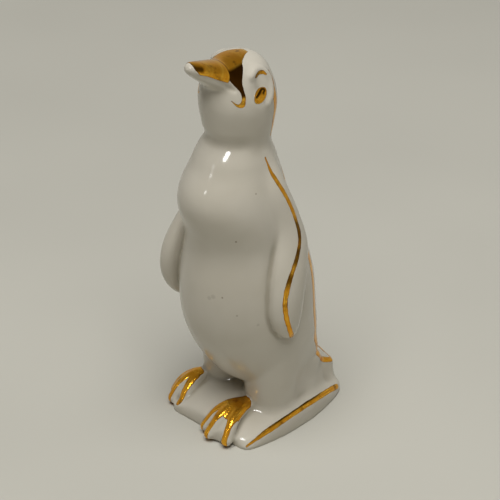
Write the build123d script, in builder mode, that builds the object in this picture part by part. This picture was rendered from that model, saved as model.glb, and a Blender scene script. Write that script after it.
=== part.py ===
"""Standing porcelain penguin on a crowned plinth, painted with gold lustre.

Millimetres, Z up. The penguin faces -Y and its left side is +X.
The origin is the middle of the plinth's underside.
"""

from build123d import *
import os
from math import cos, radians, sin

# Thicknesses
wall = 2.8  # cast wall of the hollow body and head
gilt = 0.2  # fired gold film
brush_line = 1.1  # width of one painted line

# Plinth: vertical sides, top cut by a large ball
plinth_front_y = -15.2
plinth_corner_x = 13.2
plinth_side_x = 15.9
plinth_side_y = 1.7
plinth_back_corner_y = 19.0
plinth_back_y = 24.8
plinth_corner_radius = 2.5
crown_radius = 36.0
crown_height = 9.0
crown_y = 3.0
vent_diameter = 3.6
vent_y = 10.0

# Head: turned about its own upright axis, the neck ring is shared with the body
head_y = -4.1
head_top = 100.0
neck_height = 79.0
neck_radius = 8.2
cheek_height = 89.0
cheek_radius = 9.25
brow_height = 95.8
brow_radius = 7.5
head_turn = 5.0

# Body rings from hem to neck: height, centre y, half width, half depth
body_floor = 12.0
body_rings = [
    (body_floor, 4.2, 9.0, 9.2),
    (15.0, 4.0, 12.9, 13.4),
    (21.0, 2.2, 15.0, 15.7),
    (30.0, -0.2, 15.8, 17.2),
    (38.0, -1.1, 15.8, 17.4),
    (46.0, -1.7, 14.9, 16.2),
    (54.0, -2.9, 13.6, 13.9),
    (60.0, -4.8, 13.2, 13.9),
    (65.0, -6.0, 12.4, 13.7),
    (70.0, -5.9, 11.0, 12.2),
    (75.0, -5.1, 9.2, 9.9),
    (neck_height, head_y, neck_radius - 0.01, neck_radius),
]

# Beak: oval sections along an axis that rises from the head
beak_start = 3.5  # in front of the head's axis
beak_height = 94.5
beak_rise = 28.0
# Distance along the axis, half width, half height
beak_sections = [
    (0.0, 5.4, 4.2),
    (4.5, 4.7, 3.3),
    (8.0, 3.5, 2.4),
    (11.0, 2.25, 1.75),
    (12.4, 1.55, 1.25),
    (13.1, 0.6, 0.5),
]

# Wing rings from shoulder to tip: height, centre x, centre y, half thickness, half length
left_wing_rings = [
    (77.0, 7.9, -3.8, 1.2, 1.6),
    (70.0, 9.9, -2.6, 2.1, 3.3),
    (63.0, 11.6, -1.4, 2.6, 4.2),
    (56.0, 13.0, -0.4, 3.0, 4.7),
    (49.0, 14.1, -1.6, 3.8, 5.4),
    (42.0, 14.8, -3.2, 4.0, 5.3),
    (36.0, 15.2, -3.8, 3.5, 4.6),
    (31.5, 15.4, -3.4, 2.3, 3.0),
    (29.8, 15.4, -3.0, 1.2, 1.6),
]
right_wing_rings = [
    (77.0, -7.9, -3.8, 1.2, 1.6),
    (70.0, -10.2, -2.7, 2.1, 3.4),
    (63.0, -12.2, -2.6, 2.7, 4.3),
    (56.0, -13.4, -4.0, 3.0, 4.8),
    (49.0, -14.5, -7.6, 3.4, 5.4),
    (42.0, -15.2, -9.4, 3.5, 5.2),
    (36.0, -15.5, -8.6, 3.0, 4.4),
    (31.5, -15.2, -6.6, 1.9, 2.8),
    (29.8, -14.9, -6.0, 1.0, 1.4),
]

# Legs: round thighs, wider towards the body
leg_radius = 6.0
leg_flare = 4.0
leg_top = 23.0
left_leg_spot = (7.5, -0.2)
right_leg_spot = (-8.0, 0.8)

# Feet: three toes that fan out from the heel over a lower web
toe_radius = 1.5
toe_rise = 0.9  # how far a toe stands above the web
instep_height = 7.4
knuckle_height = 7.5
knuckle_share = 0.55  # of the toe's reach
toe_end_height = 1.9
toe_bend_radius = 7.0
foot_clearance = 0.4  # the toes end just above the surface
web_margin = 0.5
heel_half_width = 1.3
heel_setback = 3.0
# Toe reaches and headings, inner, middle and outer toe
left_heel = (6.2, -6.4)
left_foot_turn = -10.0
left_toes = ((12.8, -22.0), (13.2, -5.0), (12.2, 21.0))
right_heel = (-10.6, -4.6)
right_foot_turn = -24.0
right_toes = ((9.6, 20.0), (10.8, -1.0), (9.6, -21.0))

# Tail: a flare turned about an upright axis, trimmed to a fan
tail_axis_y = 3.0
tail_root_radius = 13.2
tail_root_height = 24.0
tail_bend_radius = 15.4
tail_bend_height = 13.0
tail_rim_radius = 23.0
tail_rim_height = 7.8
tail_notch_x = 7.6  # between the legs its wall stands further back
tail_notch_y = 5.0
tail_root_x = 13.4
tail_root_y = 0.5
tail_flank_x = 13.6
tail_flank_y = 9.0
tail_corner_x = 9.6
tail_corner_y = 20.4
tail_tip_y = 24.4
tail_lean = 6.0  # the wall under the rim leans out towards the plinth

# Gilding outlines, seen from the head's side: distance in front of the head's axis, height
mask_back = [(-1.0, 101.5), (0.5, 99.7), (3.4, 97.5), (4.4, 94.2), (4.4, 91.6), (5.4, 90.6), (7.2, 92.3)]
mask_front = [(7.2, 92.3), (6.3, 91.8), (5.5, 91.5), (5.1, 92.6), (5.6, 94.8)]
mouth_line = [(5.6, 94.8), (8.6, 96.9), (13.4, 99.2)]
worn_tip = 13.4
eye_spot = (0.8, 92.5)
eye_half_width = 1.4
eye_half_height = 1.95
brow_stroke = [(0.9, 96.6), (-0.3, 97.2), (-1.8, 96.8)]

# Gilding strokes, seen from the side: y, height
head_stripe = [(-0.2, 96.0), (0.2, 91.0), (0.6, 86.0), (0.2, 80.0)]
left_wing_stroke = [
    (-3.8, 74.3), (-3.1, 70.7), (-0.3, 62.8), (0.4, 56.5), (-1.8, 52.0),
    (-5.0, 47.0), (-6.7, 41.4), (-6.0, 35.6), (-3.4, 30.6),
]
right_wing_swing = [0.0, -0.5, -1.7, -3.6, -5.0, -6.0, -6.2, -4.8, -3.0]
# Seen from behind: x, height
coat_stroke = [(6.0, 78.0), (8.7, 66.0), (10.9, 52.0), (13.0, 39.0), (13.2, 28.0), (12.4, 20.6)]
# Ends of the plinth's painted lines, the right one starts behind the outer toe
left_plinth_line_front_y = -13.6
right_plinth_line_front_y = -5.8
plinth_line_back_y = 19.6

# Room for the trimming prisms, larger than the whole figure
reach = 60.0

# Head's own directions and the upright plane through its middle
forward = Vector(-sin(radians(head_turn)), -cos(radians(head_turn)), 0)
leftward = Vector(cos(radians(head_turn)), -sin(radians(head_turn)), 0)
upward = Vector(0, 0, 1)
head_middle = Vector(0, head_y, 0)
head_side = Plane(head_middle, x_dir=forward, z_dir=-leftward)


def write(piece, name):
    """Label a finished piece and save it."""
    piece.part.label = name
    export_step(piece.part, f"parts/{name}.step")


def plinth_form(grow, raised):
    """The plinth without its vent, swelled by grow on the sides and raised on top."""
    with BuildPart() as form:
        with BuildSketch():
            with BuildLine():
                Line((-plinth_corner_x, plinth_front_y), (plinth_corner_x, plinth_front_y))
                ThreePointArc(
                    (plinth_corner_x, plinth_front_y),
                    (plinth_side_x, plinth_side_y),
                    (plinth_corner_x, plinth_back_corner_y),
                )
                ThreePointArc(
                    (plinth_corner_x, plinth_back_corner_y),
                    (0, plinth_back_y),
                    (-plinth_corner_x, plinth_back_corner_y),
                )
                ThreePointArc(
                    (-plinth_corner_x, plinth_back_corner_y),
                    (-plinth_side_x, plinth_side_y),
                    (-plinth_corner_x, plinth_front_y),
                )
            make_face()
            offset(amount=grow, kind=Kind.INTERSECTION)
            fillet(vertices(), plinth_corner_radius + grow)
        extrude(amount=crown_height + brush_line)
        with Locations((0, crown_y, crown_height - crown_radius + raised)):
            Sphere(crown_radius, mode=Mode.INTERSECT)
    return form.part


def body_form(grow):
    """The body's outer form, swelled by grow."""
    with BuildPart() as form:
        for height, centre_y, half_width, half_depth in body_rings:
            with BuildSketch(Plane.XY.offset(height)):
                with Locations((0, centre_y)):
                    Ellipse(half_width + grow, half_depth + grow)
        loft()
    return form.part


def head_form(grow):
    """The head's outer form, turned about its upright axis and swelled by grow."""
    with BuildPart() as form:
        with BuildSketch(Plane(head_middle, x_dir=(1, 0, 0), z_dir=(0, -1, 0))):
            with BuildLine():
                Spline(
                    (neck_radius + grow, neck_height),
                    (cheek_radius + grow, cheek_height),
                    (brow_radius + grow, brow_height),
                    (0, head_top + grow),
                    tangents=((0, 1), (-1, 0)),
                )
                Polyline((0, head_top + grow), (0, neck_height), (neck_radius + grow, neck_height))
            make_face()
        revolve(axis=Axis(head_middle, (0, 0, 1)))
    return form.part


def beak_form(grow):
    """The beak before the head is taken away from it, swelled by grow."""
    axis = forward * cos(radians(beak_rise)) + upward * sin(radians(beak_rise))
    start = head_middle + forward * beak_start + upward * beak_height
    with BuildPart() as form:
        for distance, half_width, half_height in beak_sections:
            with BuildSketch(Plane(start + axis * distance, x_dir=leftward, z_dir=axis)):
                Ellipse(half_width + grow, half_height + grow)
        loft()
    return form.part


def wing_form(rings, grow):
    """A wing before the body is taken away from it, swelled by grow."""
    with BuildPart() as form:
        for height, centre_x, centre_y, half_thickness, half_length in rings:
            with BuildSketch(Plane.XY.offset(height)):
                with Locations((centre_x, centre_y)):
                    Ellipse(half_thickness + grow, half_length + grow)
        loft()
    return form.part


def tail_form(grow, raised):
    """The tail and the wall under it, swelled by grow on the sides and raised on top."""
    left_outline = [
        (tail_notch_x, tail_notch_y),
        (tail_notch_x, tail_root_y),
        (tail_root_x, tail_root_y),
        (tail_flank_x, tail_flank_y),
        (tail_corner_x, tail_corner_y),
    ]
    right_outline = [(-x, y) for x, y in reversed(left_outline)]
    with BuildPart() as form:
        with BuildSketch():
            with BuildLine():
                Polyline(*right_outline, *left_outline)
                ThreePointArc(
                    (tail_corner_x, tail_corner_y),
                    (0, tail_tip_y),
                    (-tail_corner_x, tail_corner_y),
                )
            make_face()
            offset(amount=grow)
        extrude(amount=tail_root_height + brush_line, taper=tail_lean)
        with BuildSketch(Plane((0, tail_axis_y, 0), x_dir=(1, 0, 0), z_dir=(0, -1, 0))):
            with BuildLine():
                Spline(
                    (tail_root_radius, tail_root_height + raised),
                    (tail_bend_radius, tail_bend_height + raised),
                    (tail_rim_radius, tail_rim_height + raised),
                    tangents=((0, -1), (1, -0.1)),
                )
                Polyline(
                    (tail_rim_radius, tail_rim_height + raised),
                    (tail_rim_radius, 0),
                    (0, 0),
                    (0, tail_root_height + raised),
                    (tail_root_radius, tail_root_height + raised),
                )
            make_face()
        revolve(axis=Axis((0, tail_axis_y, 0), (0, 0, 1)), mode=Mode.INTERSECT)
    return form.part


def heading_vector(turn):
    """Level direction that is turn degrees to the penguin's left of straight ahead."""
    return Vector(sin(radians(turn)), -cos(radians(turn)), 0)


def toe_line(reach_out, drop):
    """Points of a toe's middle line: distance from the heel, height."""
    return [
        (0, instep_height - drop),
        (knuckle_share * reach_out, knuckle_height - drop),
        (reach_out - toe_radius, toe_end_height - drop),
    ]


def toes_form(heel, turn, toes, grow):
    """Three round toes with ball ends, swelled by grow."""
    with BuildPart() as form:
        for reach_out, spread in toes:
            heading = heading_vector(turn + spread)
            with BuildLine(Plane((heel[0], heel[1], 0), x_dir=heading, z_dir=heading.cross(upward))) as middle:
                FilletPolyline(*toe_line(reach_out, 0), radius=toe_bend_radius)
            with BuildSketch(Plane(middle.line @ 0, z_dir=middle.line % 0)):
                Circle(toe_radius + grow)
            sweep(path=middle.line)
            with Locations(middle.line @ 0, middle.line @ 1):
                Sphere(toe_radius + grow)
    return form.part


def web_form(heel, turn, toes):
    """The web under the toes: a side outline as wide as the fan of the toes."""
    heading = heading_vector(turn)
    longest = max(reach_out for reach_out, spread in toes)
    with BuildPart() as form:
        with BuildSketch(Plane((heel[0], heel[1], 0), x_dir=heading, z_dir=heading.cross(upward))):
            with BuildLine():
                back, knuckle, end = toe_line(longest, toe_rise - toe_radius)
                top = FilletPolyline(back, knuckle, end, radius=toe_bend_radius)
                Polyline(
                    end,
                    (end[0], foot_clearance),
                    (-heel_setback, foot_clearance),
                    (-heel_setback, back[1]),
                    back,
                )
            make_face()
        extrude(amount=reach, both=True)
        with BuildSketch(Plane((heel[0], heel[1], 0), x_dir=heading)):
            with BuildLine():
                tips = [
                    Vector(reach_out - toe_radius - web_margin, 0).rotate(Axis.Z, spread) for reach_out, spread in toes
                ]
                tips.sort(key=lambda tip: tip.Y)
                Polyline(
                    tips[2],
                    (-heel_setback, heel_half_width),
                    (-heel_setback, -heel_half_width),
                    tips[0],
                )
                ThreePointArc(*tips)
            make_face()
        extrude(amount=reach, mode=Mode.INTERSECT)
    return form.part


os.makedirs("parts", exist_ok=True)
body = body_form(0)
gilt_body = body_form(gilt)
head = head_form(0)
gilt_head = head_form(gilt)
plinth_block = plinth_form(0, 0)

# Plinth with its vent
with BuildPart() as plinth:
    add(plinth_block)
    with Locations((0, vent_y, 0)):
        Cylinder(vent_diameter / 2, reach, mode=Mode.SUBTRACT)
plinth.part.label = "plinth"
export_step(plinth.part, "parts/plinth.step")

# Hollow body, open at the neck
with BuildPart() as body_hollow:
    add(body_form(-wall))
    with Locations((0, 0, body_floor + wall)):
        Box(reach, reach, reach, align=(Align.CENTER, Align.CENTER, Align.MAX), mode=Mode.SUBTRACT)
with BuildPart() as torso_shell:
    add(body)
    add(body_hollow.part, mode=Mode.SUBTRACT)
    with Locations((0, vent_y, 0)):
        Cylinder(vent_diameter / 2, 2 * (body_floor + 2 * wall), mode=Mode.SUBTRACT)
torso_shell.part.label = "torso_shell"
export_step(torso_shell.part, "parts/torso_shell.step")

# Hollow head, open at the neck
with BuildPart() as head_shell:
    add(head)
    add(head_form(-wall), mode=Mode.SUBTRACT)
head_shell.part.label = "head_shell"
export_step(head_shell.part, "parts/head_shell.step")

# Beak
with BuildPart() as beak:
    add(beak_form(0))
    add(head, mode=Mode.SUBTRACT)
beak.part.label = "beak"
export_step(beak.part, "parts/beak.step")

# Wings
with BuildPart() as left_wing:
    add(wing_form(left_wing_rings, 0))
    add(body, mode=Mode.SUBTRACT)
left_wing.part.label = "left_wing"
export_step(left_wing.part, "parts/left_wing.step")
with BuildPart() as right_wing:
    add(wing_form(right_wing_rings, 0))
    add(body, mode=Mode.SUBTRACT)
right_wing.part.label = "right_wing"
export_step(right_wing.part, "parts/right_wing.step")

# Tail with the wall that stands on the plinth
with BuildPart() as tail:
    add(tail_form(0, 0))
    add(body, mode=Mode.SUBTRACT)
    add(plinth_block, mode=Mode.SUBTRACT)
    with Locations((0, vent_y, 0)):
        Cylinder(vent_diameter / 2, reach, mode=Mode.SUBTRACT)
tail.part.label = "tail"
export_step(tail.part, "parts/tail.step")

# Legs and feet with their gilding
limbs = [
    ("left", left_leg_spot, left_heel, left_foot_turn, left_toes),
    ("right", right_leg_spot, right_heel, right_foot_turn, right_toes),
]
for side, leg_spot, heel, turn, toes in limbs:
    with BuildPart() as leg:
        with BuildSketch():
            with Locations(leg_spot):
                Circle(leg_radius)
        extrude(amount=leg_top, taper=-leg_flare)
        add(body, mode=Mode.SUBTRACT)
        add(plinth_block, mode=Mode.SUBTRACT)
        add(tail.part, mode=Mode.SUBTRACT)
    write(leg, f"{side}_leg")
    with BuildPart() as foot:
        add(toes_form(heel, turn, toes, 0))
        add(web_form(heel, turn, toes))
        add(leg.part, mode=Mode.SUBTRACT)
        add(body, mode=Mode.SUBTRACT)
        add(plinth_block, mode=Mode.SUBTRACT)
    write(foot, f"{side}_foot")
    with BuildPart() as foot_gilding:
        add(toes_form(heel, turn, toes, gilt))
        add(foot.part, mode=Mode.SUBTRACT)
        add(leg.part, mode=Mode.SUBTRACT)
        add(body, mode=Mode.SUBTRACT)
        add(plinth_block, mode=Mode.SUBTRACT)
    write(foot_gilding, f"{side}_foot_gilding")

# Gold on the upper beak, worn away at its tip
with BuildPart() as beak_gilding:
    with BuildSketch(head_side):
        with BuildLine():
            Spline(*mouth_line)
            Polyline(mouth_line[-1], (worn_tip, head_top + wall), (0, head_top + wall), (0, mouth_line[0][1]), mouth_line[0])
        make_face()
    extrude(amount=reach, both=True)
    add(beak_form(gilt), mode=Mode.INTERSECT)
    add(beak.part, mode=Mode.SUBTRACT)
    add(head, mode=Mode.SUBTRACT)
beak_gilding.part.label = "beak_gilding"
export_step(beak_gilding.part, "parts/beak_gilding.step")

# Gold mask on the forehead that runs down into a hook on each cheek
with BuildPart() as face_gilding:
    with BuildSketch(head_side):
        with BuildLine():
            Spline(*mask_back)
            Spline(*mask_front)
            Polyline(mask_front[-1], (worn_tip, mouth_line[-1][1]), (worn_tip, mask_back[0][1]), mask_back[0])
        make_face()
    extrude(amount=reach, both=True)
    add(gilt_head, mode=Mode.INTERSECT)
    add(head, mode=Mode.SUBTRACT)
    add(beak.part, mode=Mode.SUBTRACT)
    add(beak_gilding.part, mode=Mode.SUBTRACT)
face_gilding.part.label = "face_gilding"
export_step(face_gilding.part, "parts/face_gilding.step")

# Eyes, brows and the stripes on the sides of the head
for side, outward in (("left", -reach), ("right", reach)):
    with BuildPart() as eye:
        with BuildSketch(head_side):
            with Locations(eye_spot):
                Ellipse(eye_half_width, eye_half_height)
        extrude(amount=outward)
        add(gilt_head, mode=Mode.INTERSECT)
        add(head, mode=Mode.SUBTRACT)
    write(eye, f"{side}_eye")
    with BuildPart() as brow:
        with BuildSketch(head_side):
            with BuildLine():
                Spline(*brow_stroke)
            trace(line_width=brush_line)
        extrude(amount=outward)
        add(gilt_head, mode=Mode.INTERSECT)
        add(head, mode=Mode.SUBTRACT)
    write(brow, f"{side}_brow")
    with BuildPart() as stripe:
        with BuildSketch(Plane.YZ):
            with BuildLine():
                Spline(*head_stripe)
            trace(line_width=brush_line)
        extrude(amount=-outward)
        add(gilt_head, mode=Mode.INTERSECT)
        add(head, mode=Mode.SUBTRACT)
    write(stripe, f"{side}_head_stripe")

# Line along the outer edge of each wing, from the shoulder to the tip
right_wing_stroke = [(y + swing, height) for (y, height), swing in zip(left_wing_stroke, right_wing_swing)]
wing_lines = [
    ("left", reach, left_wing_rings, left_wing, left_wing_stroke),
    ("right", -reach, right_wing_rings, right_wing, right_wing_stroke),
]
for side, outward, rings, wing, stroke in wing_lines:
    with BuildPart() as wing_line:
        with BuildSketch(Plane.YZ):
            with BuildLine():
                Spline(*stroke)
            trace(line_width=brush_line)
        extrude(amount=outward)
        with BuildSketch(Plane.XZ):
            with BuildLine():
                Polyline(
                    *[(centre_x, height) for height, centre_x, *rest in rings],
                    (outward, rings[-1][0]),
                    (outward, rings[0][0]),
                    close=True,
                )
            make_face()
        extrude(amount=reach, both=True, mode=Mode.INTERSECT)
        add(wing_form(rings, gilt), mode=Mode.INTERSECT)
        add(body, mode=Mode.SUBTRACT)
        add(wing.part, mode=Mode.SUBTRACT)
    write(wing_line, f"{side}_wing_line")

# Line down each side of the back, from the neck to the tail
for side, mirrored in (("left", 1), ("right", -1)):
    with BuildPart() as coat_line:
        with BuildSketch(Plane((0, tail_axis_y, 0), x_dir=(1, 0, 0), z_dir=(0, -1, 0))):
            with BuildLine():
                Spline(*[(mirrored * x, height) for x, height in coat_stroke])
            trace(line_width=brush_line)
        extrude(amount=-reach)
        add(gilt_body, mode=Mode.INTERSECT)
        add(body, mode=Mode.SUBTRACT)
        add(tail.part, mode=Mode.SUBTRACT)
        add(left_wing.part, mode=Mode.SUBTRACT)
        add(right_wing.part, mode=Mode.SUBTRACT)
    write(coat_line, f"{side}_coat_line")

# Line round the tail's rim
with BuildPart() as tail_gilding:
    add(tail_form(gilt, gilt))
    add(tail_form(0, 0), mode=Mode.SUBTRACT)
    add(tail_form(-brush_line, 2 * gilt), mode=Mode.SUBTRACT)
    add(tail_form(2 * gilt, -brush_line / 2), mode=Mode.SUBTRACT)
    add(body, mode=Mode.SUBTRACT)
    add(plinth_block, mode=Mode.SUBTRACT)
tail_gilding.part.label = "tail_gilding"
export_step(tail_gilding.part, "parts/tail_gilding.step")

# Lines on the upper edge of the plinth's two long sides
plinth_lines = [("left", 1, left_plinth_line_front_y), ("right", -1, right_plinth_line_front_y)]
for side, mirrored, line_front_y in plinth_lines:
    with BuildPart() as plinth_line:
        line_middle_y = (line_front_y + plinth_line_back_y) / 2
        with Locations((mirrored * (reach + plinth_corner_x) / 2, line_middle_y, 0)):
            Box(reach, plinth_line_back_y - line_front_y, reach)
        add(plinth_form(gilt, gilt), mode=Mode.INTERSECT)
        add(plinth_form(-brush_line / 2, 2 * gilt), mode=Mode.SUBTRACT)
        add(plinth_form(2 * gilt, -brush_line), mode=Mode.SUBTRACT)
        add(plinth_block, mode=Mode.SUBTRACT)
    write(plinth_line, f"{side}_plinth_line")
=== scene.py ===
"""Glazed porcelain penguin with gold lustre, on a pale floor in soft light.

Z is up, the penguin faces -Y and its left is +X. Lengths are millimetres, apart from those of the
floor, the lamps and the fine bumps, which are metres.
"""

import math

import bmesh
import bpy
import numpy as np
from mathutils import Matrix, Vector
from mathutils.bvhtree import BVHTree


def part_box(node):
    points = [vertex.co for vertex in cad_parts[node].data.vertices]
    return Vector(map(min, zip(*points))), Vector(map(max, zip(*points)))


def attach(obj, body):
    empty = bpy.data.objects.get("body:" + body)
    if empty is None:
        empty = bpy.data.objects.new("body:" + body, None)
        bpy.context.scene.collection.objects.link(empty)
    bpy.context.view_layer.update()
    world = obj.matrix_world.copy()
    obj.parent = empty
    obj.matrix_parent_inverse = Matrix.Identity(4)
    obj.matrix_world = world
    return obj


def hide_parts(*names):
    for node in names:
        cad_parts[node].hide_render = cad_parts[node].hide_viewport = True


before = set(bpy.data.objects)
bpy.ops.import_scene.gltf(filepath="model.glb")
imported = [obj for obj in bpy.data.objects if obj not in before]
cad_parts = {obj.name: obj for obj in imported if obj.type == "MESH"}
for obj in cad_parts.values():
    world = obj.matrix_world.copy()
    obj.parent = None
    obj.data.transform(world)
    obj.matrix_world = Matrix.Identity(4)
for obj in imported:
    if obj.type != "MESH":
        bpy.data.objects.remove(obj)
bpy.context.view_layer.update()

mm = 0.001
scene = bpy.context.scene

# Porcelain: the cast pieces become one glazed skin
ceramic_nodes = [
    "plinth", "torso_shell", "head_shell", "beak", "left_wing", "right_wing",
    "left_leg", "right_leg", "left_foot", "right_foot", "tail",
]
grain = 0.42  # size of one facet of the skin
vent_y = 10.0
vent_radius = 1.8
vent_depth = 3.0  # the skin shuts the vent this far in
vent_end = 22.0  # its wall is taken out up to here
sole_height = 0.3  # points below this lie on the underside
sole_slack = 0.02

# Places on the skin, each with where it begins and where it is fully reached
beak_reach = (9.0, 11.5)  # in front of the head's axis
face_reach = (3.0, 6.0)
face_low = 88.0  # beak and face lie above this
low_heights = (14.0, 22.0)
plinth_heights = (9.0, 12.0)
wing_out = (9.0, 12.0)  # to either side
wing_heights = (30.0, 52.0, 8.0)  # from, to, and run-out at both ends
toe_reach = (1.8, 3.2)  # from a toe's middle line
toe_top = 10.5
rim_reach = (1.5, 3.5)  # from the tail's rim

# Smoothing of the cast skin: rounds, and what each place takes off its share
soft_rounds = 26
least_soft = 0.1
firm_low = 0.72
firm_wing = 0.7
firm_face = 0.65
firm_beak = 0.15
firm_detail = 0.85  # toes and the tail's rim
plinth_soft = 0.55  # the plinth gets at least this share

# More smoothing for the plinth's upper edge, and for the flanks between leg and tail
edge_heights = (1.5, 7.0, 1.0)
edge_rounds = 40
rear_corner_room = 7.0  # the plinth's rear corners keep their form this far round
flank_depths = (3.5, 12.0, 2.0)
flank_heights = (10.0, 22.0, 3.0)
flank_out = (7.0, 9.0)
flank_rounds = 220

# The wings' edges are sharpened after that
wing_edge = 1.4
wing_edge_rounds = 40

# Tint of glaze that pools in hollows, darkened further as painted shade in the creases
hollow_rounds = 30
hollow_depth = 0.5

# Head
head_y = -4.1
head_turn = 5.0
head_base = 80.0
neck_height = 78.6

# Relief of the face, seen from the head's side: distance in front of the head's axis, height
eye_spot = (0.35, 92.1)
socket_spot = (0.6, 93.4)
socket_half = (2.7, 4.4)
socket_depth = 0.75
eyeball_half = (1.8, 2.1)
eyeball_rise = 0.55
eye_ridge = [(1.6, 96.6), (-0.2, 97.8), (-2.2, 97.0), (-3.6, 94.4), (-3.0, 91.8), (-1.5, 89.8)]
eye_ridge_half = 1.3
eye_ridge_rise = 0.65
mouth_groove = [(13.0, 98.4), (8.6, 96.3), (5.9, 94.2)]
mouth_half = 0.9
mouth_depth = 0.35
cheek_out = 2.0  # the eyes and what is round them lie further out than this
mouth_out = 0.3
face_soft = 0.5
face_rounds = 3

# Neck: a hollow all round, and a soft fold under the throat
neck_depth = 0.35
neck_half = 4.0
fold_gap = 1.8  # the fold swells this far below the neck, and its crease lies this far above
fold_rise = 0.3
fold_half = 5.0
crease_depth = 0.35
crease_half = 2.6
throat_reach = (0.0, 5.0)  # in front of the head's axis

# Gold film
film_rise = 0.035  # above the glaze
film_root = 0.06  # below it
film_edge = 0.45  # share of the rise at the film's edge
film_slope = 0.25  # the rise is full this far in
refine = 4  # film facets along one facet of the skin
weld_grid = 2000  # steps to the millimetre on which corners are joined
film_room = 3.0  # how far a film may stray from its CAD box
film_margin = 0.6  # facets this far outside a film's edge are refined too
far_outside = -1.0  # what a field says well outside its film
outward = 0.02  # least share of a facet's direction that counts as facing out
middle_room = 1.0  # a film on one side keeps this far from the middle

# Edge of the gold: how uneven it is, and over what length
ripple_waves = 5
ripple_first = 0.6
ripple_step = 0.25
stroke_ragged = ((0.07, 3.1), (0.05, 0.9))
mask_ragged = (0.07, 2.3)
eye_ragged = (0.05, 1.3)
foot_ragged = (0.06, 1.7)
stroke_end = 0.35  # share of a stroke's width at its very end
stroke_lead = 0.5  # how far past its end a stroke starts to widen

# Seeds of the unevenness
mask_seed = 11
eye_seed = 21
brow_seed = 31
stripe_seed = 41
wing_seed = 51
wing_reflection_seed = 55
coat_seed = 61
tail_seed = 71
foot_seed = 81
plinth_seed = 91

# Mask on the face: distance in front of the head's axis, length down from the crown's middle line
roll_height = 90.0  # the face is unrolled about a level line at this height
roll_radius = 9.0
mask_back = [
    (-2.3, -1.0), (-2.2, 0.9), (-1.3, 1.4), (0.3, 2.4), (1.7, 3.4), (3.2, 5.8), (4.0, 7.5),
    (4.1, 9.8), (4.1, 11.6), (4.5, 13.4), (5.3, 13.9), (6.2, 13.2), (6.9, 11.0),
]
mask_front = [(6.9, 11.0), (6.0, 12.6), (5.4, 12.6), (4.9, 11.4), (4.9, 9.7), (5.3, 8.3), (5.8, 6.7)]
mask_reach = [(6.6, 5.5), (7.6, 3.5), (7.6, -1.0)]
mask_full = 0.4  # further in than this the film is even
mask_margin = 0.7
right_mask_lead = 1.9  # the mask reaches this much further forward on the right cheek
right_mask_out = (2.0, 5.0)
mask_reflection_band = (4.2, 10.6, 1.1)  # painted dark reflection: from, to, run-out

# Gold outlines seen from the head's side: distance in front of the head's axis, height
mouth_line = [(5.4, 95.2), (8.9, 97.0), (11.2, 98.2), (12.9, 98.8)]
worn_edge = [(12.9, 98.8), (13.5, 99.7), (14.0, 100.6), (13.9, 102.0)]
beak_above = [(13.9, 106.0), (-1.0, 106.0)]  # closes the beak's outline over the head
# Painted dark reflection near the beak's tip: its line, core, half width and share
tip_reflection_line = [(14.2, 100.7), (13.4, 100.3), (12.4, 100.0)]
tip_reflection_core = 0.2
tip_reflection_half = 0.7
tip_reflection_share = 0.9
beak_crease = 0.75  # the beak's gold starts this far off the round head
beak_start = 3.0  # and in front of this
eye_up = (-1.0, 1.65)  # from the eye's middle to its upper end
eye_back = (-1.6, -0.2)  # and to its rear side
# Painted dark reflection as a hooked line across the eye
eye_reflection_hook = [(1.5, 92.0), (0.4, 92.8), (-0.5, 93.35), (-1.0, 93.0), (-0.5, 92.5)]
reflection_hook_half = 0.24
brow_stroke = [(0.7, 96.4), (-0.4, 97.0), (-1.5, 96.9), (-2.3, 96.2)]
brow_width = 0.9
brow_taper = (0.6, 1.6)
# Painted dark reflection at the brow's front end
brow_reflection_reach = (-1.6, 0.2)
brow_reflection_share = 0.7

# Gold strokes seen from the side: y, height
head_stripe = [(-0.5, 96.0), (-0.4, 91.0), (0.0, 86.0), (-0.4, 80.0)]
stripe_heights = (79.5, 99.0)
stripe_width = 1.8
stripe_taper = (6.0, 6.0)
left_wing_stroke = [
    (-4.0, 76.0), (-3.8, 74.3), (-3.1, 70.7), (-0.3, 62.8), (0.4, 56.5), (-1.8, 52.0),
    (-5.0, 47.0), (-6.7, 41.4), (-6.0, 35.6), (-3.4, 30.2), (-0.8, 28.3),
]
# The right wing swings forward, by this much at each of those points
right_wing_swing = [0.0, 0.0, -0.5, -1.7, -3.6, -5.0, -6.0, -6.2, -4.8, -3.0, -2.6]
brush_line = 1.1
wing_taper = (6.0, 4.0)
wing_line_room = 2.2  # the film keeps this close to its CAD film
wing_tip_room = 3.4  # and this close where it hooks round below the tip
wing_tip_height = 31.0
wing_reflection_heights = (47.0, 59.0, 3.0)  # painted dark reflection: from, to, run-out
wing_reflection_share = 0.8
wing_reflection_patch = 5.0
wing_reflection_patches = (-1.0, 0.2)

# Gold strokes seen from behind: x, height
coat_stroke = [
    (6.0, 78.0), (8.7, 66.0), (10.9, 52.0), (13.0, 39.0), (13.2, 28.0), (12.4, 20.6), (11.0, 15.8),
]
coat_taper = (3.0, 0.1)

# Tail rim from the left root to the tip
tail_axis_y = 3.0
tail_rim = [
    (11.8, 11.4, 18.8), (10.9, 11.9, 15.9), (10.5, 13.7, 13.9), (10.0, 15.4, 11.7), (9.5, 17.8, 10.0),
    (8.8, 20.1, 9.0), (7.0, 21.5, 8.6), (4.0, 22.9, 8.3), (0.0, 23.5, 8.1),
]
tail_steps = 4
tail_line_width = 1.5
tail_taper = (0.1, 0.1)
tail_inset = 0.4  # the gold lies this far inside the rim
tail_front = 10.0
tail_low = 5.0
corner_spot = (9.4, 20.4)  # the tail's corners are drawn out round here
corner_pull = (1.15, 0.5)
corner_room = 4.5
corner_top = (9.5, 12.5)
root_spot = (10.9, 12.6, 14.4)  # and its roots are filled out round here
root_pull = (0.75, 0.45)
root_room = 6.5

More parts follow.
